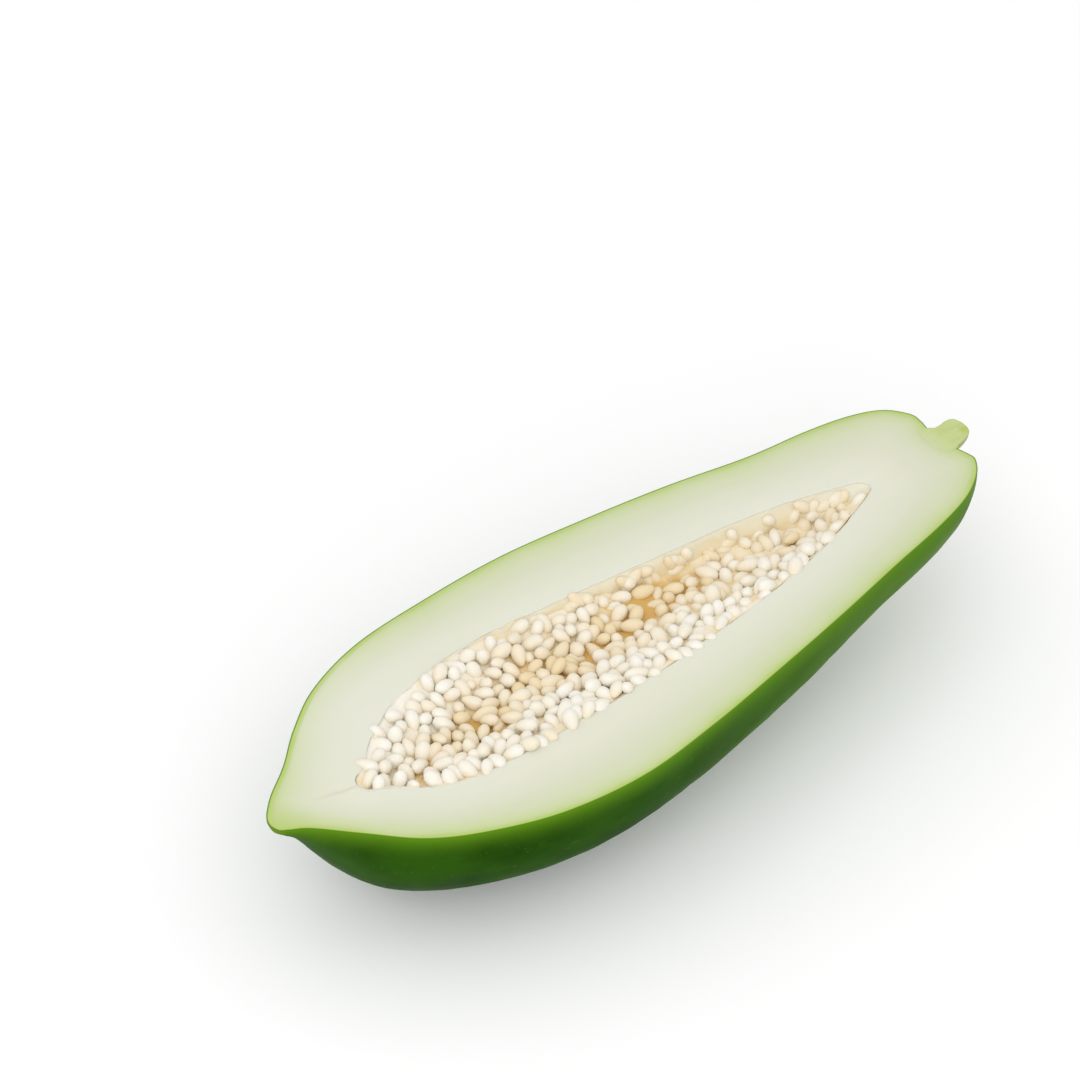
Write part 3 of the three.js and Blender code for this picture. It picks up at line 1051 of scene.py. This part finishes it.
def far_margin(x):
    """How far seeds on the pulp keep from the hollow's far edge."""
    return FAR_MARGIN + blend(x, *BELLY_MARGIN) * fade(x, *BELLY_ENDS) + blend(x, *STEM_HALF_MARGIN)


def bare_share(x, y):
    """How much of the pulp stays bare at a place: more in the trough, and in the stem half."""
    in_trough = (TROUGH_BARE - blend(x, *TROUGH_FILLS)) * trough(x, y)
    return in_trough + blend(x, *STEM_HALF_BARE) * blend(across(x, y), *STEM_HALF_ACROSS)


def bare_strip_share(x):
    """How much of the strip along the far wall stays bare."""
    return blend(x, *FAR_STRIP_BARE) * fade(x, *FAR_STRIP_FILLS)


def whiteness(x, y):
    """How white seeds at a place are as a rule, with painted shade making them warmer in the trough."""
    share = across(x, y)
    by_rims = fade(share, *WHITE_NEAR) + blend(share, *WHITE_FAR) * fade(x, *WHITE_FAR_ENDS)
    return WHITE + by_rims + fade(x, *WHITE_BLOSSOM) - TROUGH_PAINTED_SHADE * trough(x, y)


class PAPAYA_OT_seeds(bpy.types.Operator):
    """Adds the pulp and the seeds in it"""

    bl_idname = "papaya.seeds"
    bl_label = "Seeds"

    def execute(self, context):
        colours = context.scene.papaya_colours
        sizes = context.scene.papaya_sizes
        bed = self.add_bed()
        finish_piece(bed, bed_material(colours), "seeds", smooth=80)
        heap = self.add_heap(sizes)
        finish_piece(heap, seed_material(colours), "seeds", smooth=80)
        return {"FINISHED"}

    def add_bed(self):
        def place(row, angle):
            x = HOLLOW.rib(HOLLOW.spread(row / HOLLOW.rows))[0]
            far, near = bed_edges(x)
            y = (far + near) / 2 + (far - near) / 2 * math.cos(angle)
            bottom = -wall_depth(x, y, BED_GAP)
            depth = bed_depth(x, y)
            top = -depth + min(depth, 1.0) * swell(Vector((x, y, 0)), height=0.8, width=4.5)
            return Vector((x, y, max(top, bottom + BED_LEAST) if angle > math.pi else bottom))

        bed = sphere_rows("seed_bed", HOLLOW, place)
        places = [vertex.co / MM - SHIFT for vertex in bed.data.vertices]
        store(bed, "deep", [trough(place.x, place.y) for place in places])
        return bed

    def add_heap(self, sizes):
        template = self.add_seed(sizes)
        copies = []
        for place, axis, roll, scale, tone in settled_seeds(sizes):
            seed = template.copy()
            seed.data = template.data.copy()
            turn = axis.to_track_quat("X", "Z").to_matrix().to_4x4() @ Matrix.Rotation(roll, 4, "X")
            seed.data.transform(Matrix.Translation(in_frame(place)) @ turn @ Matrix.Scale(scale, 4))
            store(seed, "tone", np.full(len(seed.data.vertices), tone))
            bpy.context.scene.collection.objects.link(seed)
            copies.append(seed)
        bpy.data.objects.remove(template)
        heap = join(*copies)
        heap.name = "seed_heap"
        return heap

    def add_seed(self, sizes):
        """A seed along X: round at its low end, drawn out to its stalk at its high end."""
        bpy.ops.object.select_all(action="DESELECT")
        bpy.ops.mesh.primitive_uv_sphere_add(segments=8, ring_count=7, radius=0.5)
        seed = bpy.context.object
        ends = [vertex.co.z + 0.5 for vertex in seed.data.vertices]
        for vertex, end in zip(seed.data.vertices, ends):
            taper = SEED_FULLNESS - SEED_TAPER * end**SEED_TAPER_POWER
            vertex.co = (vertex.co.z, vertex.co.x * taper, vertex.co.y * taper)
        store(seed, "stalk", ends)
        size = (sizes.seed_length, sizes.seed_width, sizes.seed_width * SEED_FLATNESS, 1)
        seed.data.transform(Matrix.Diagonal(size))
        return seed


def sown_seeds(draw, count, width):
    """Sows seeds on the pulp one by one, and gives their middles and the ways that they point."""
    places, axes = [], []
    while len(places) < count:
        x = draw.uniform(*SEED_REACH)
        y = draw.uniform(*SEED_RANGE)
        _, far, near, _ = rib_at(x)
        if not near + SEED_MARGIN < y < far - far_margin(x):
            continue
        if draw.random() < bare_share(x, y):
            continue
        if across(x, y) > FAR_STRIP and draw.random() < bare_strip_share(x):
            continue
        if any(math.hypot(x - other.x, y - other.y) < SEED_SPACING for other in places):
            continue
        lean = Vector((draw.gauss(0, 1), draw.gauss(0, 1), draw.gauss(0, LEAN_UP))).normalized()
        axes.append((resting_normal(x, y) * -STAND - lean * LEAN).normalized())
        sunk = draw.uniform(0.0, SUNK_MOST) + blend(x, *SUNK_MORE)
        height = resting_place(x, y) + width * (SEED_HEIGHT - sunk * SEED_SINK)
        places.append(Vector((x, y, height)))
    return places, axes


def wall_seeds(draw):
    """The seeds in the far wall, as settled_seeds gives them."""
    for _ in range(WALL_SEEDS):
        x = draw.uniform(*WALL_SEED_RANGE)
        _, far, near, depth = rib_at(x)
        level = min(draw.uniform(*WALL_SEED_LEVELS), depth * WALL_SEED_DEEPEST)
        reach = (far - near) / 2 * math.sqrt(max(1 - (level / depth) ** 2, 0))
        aim = (draw.gauss(0, 1), draw.uniform(*WALL_SEED_ASIDE), draw.gauss(0, WALL_SEED_LEAN))
        place = Vector((x, (far + near) / 2 + max(reach - WALL_SEED_PROUD, 0), -level))
        roll, scale = draw.uniform(0, math.pi), draw.uniform(*WALL_SEED_SCALES)
        yield place, Vector(aim).normalized(), roll, scale, draw.uniform(*WALL_SEED_WHITE)


def settled_seeds(sizes):
    """Where the seeds lie once they have pushed each other apart, with axis, roll, scale and whiteness."""
    draw = random.Random(SEED_DRAW)
    length, width = sizes.seed_length / MM, sizes.seed_width / MM
    places, axes = sown_seeds(draw, sizes.seed_count, width)
    for centre, axis in zip(pushed_apart(np.array(places), np.array(axes), length, width), axes):
        place = Vector(centre)
        tone = min(1.0, max(0.0, draw.gauss(whiteness(place.x, place.y), WHITE_SPREAD)))
        yield place, axis, draw.uniform(0, math.pi), draw.uniform(*SEED_SCALES), tone
    yield from wall_seeds(draw)


def pushed_apart(centres, along, length, width):
    """Moves seeds that cut into each other apart, and lets them sink back towards where they began."""
    floors = centres[:, 2].copy()
    offsets = np.array(BALL_PLACES) * length
    reach = width * BALL_SIZE
    for _ in range(SETTLING_ROUNDS):
        balls = centres[:, None, :] + along[:, None, :] * offsets[None, :, None]
        apart = balls[:, None, :, None, :] - balls[None, :, None, :, :]
        gaps = np.linalg.norm(apart, axis=-1)
        overlap = np.clip(reach - gaps, 0, None)
        overlap[np.arange(len(centres)), np.arange(len(centres))] = 0
        push = (apart / np.maximum(gaps, 1e-6)[..., None] * overlap[..., None]).sum(axis=(1, 2, 3))
        centres = centres + push * PUSH
        for index, (x, y, z) in enumerate(centres):
            _, far, near, _ = rib_at(x)
            lowest = floors[index]
            ceiling = max(CEILING - blend(across(x, y), *CEILING_DROPS), lowest)
            settled = z * (1 - SINKING) + lowest * SINKING
            centres[index, 1] = min(max(y, near + SEED_MARGIN), far - SEED_MARGIN)
            centres[index, 2] = min(max(settled, lowest), ceiling)
    return centres


class PAPAYA_OT_stem(bpy.types.Operator):
    """Adds the split stub of stem"""

    bl_idname = "papaya.stem"
    bl_label = "Stem"

    def execute(self, context):
        body = Ribbed(STEM_RIBS, rows=20, sides=40)

        def place(row, angle):
            point = body.point(row / body.rows, angle)
            if 0 < row < body.rows:
                point += body.normal(row / body.rows, angle) * swell(point, height=0.12, width=1.6)
            if lies_level(angle):
                point.z = 0
            return point

        def is_cut(vertex):
            return vertex.co.z > (CUT_HEIGHT + STEM_TOP) * MM

        stem = sphere_rows("stem_stub", body, place)
        halve(stem, drop=-STEM_PROUD, fill=True)
        edit_only(stem, is_cut)
        bpy.ops.mesh.inset(thickness=0.35 * MM, use_even_offset=True)
        leave_edit()
        on_cut = [is_cut(vertex) for vertex in stem.data.vertices]
        store(stem, "inside", np.where(on_cut, distances(stem, body), 0.0))
        store(stem, "depth", distances(stem, FRUIT))
        finish_piece(stem, stem_material(context.scene.papaya_colours), "stem", smooth=40)
        return {"FINISHED"}


class PAPAYA_PT_panel(bpy.types.Panel):
    bl_label = "Papaya half"
    bl_space_type = "VIEW_3D"
    bl_region_type = "UI"
    bl_category = "Papaya"

    def draw(self, context):
        for operator in OPERATORS:
            self.layout.operator(operator.bl_idname)
        for group in (context.scene.papaya_sizes, context.scene.papaya_colours):
            for setting in group.__annotations__:
                self.layout.prop(group, setting)


OPERATORS = (
    PAPAYA_OT_stage, PAPAYA_OT_skin, PAPAYA_OT_flesh, PAPAYA_OT_lining, PAPAYA_OT_seeds, PAPAYA_OT_stem,
)
CLASSES = (PapayaSizes, PapayaColours, *OPERATORS, PAPAYA_PT_panel)


def register():
    for cls in CLASSES:
        bpy.utils.register_class(cls)
    bpy.types.Scene.papaya_sizes = PointerProperty(type=PapayaSizes)
    bpy.types.Scene.papaya_colours = PointerProperty(type=PapayaColours)


def unregister():
    del bpy.types.Scene.papaya_sizes
    del bpy.types.Scene.papaya_colours
    for cls in reversed(CLASSES):
        bpy.utils.unregister_class(cls)


def main():
    register()
    bpy.ops.papaya.stage()
    bpy.ops.papaya.skin()
    bpy.ops.papaya.flesh()
    bpy.ops.papaya.lining()
    bpy.ops.papaya.seeds()
    bpy.ops.papaya.stem()


if __name__ == "__main__":
    main()
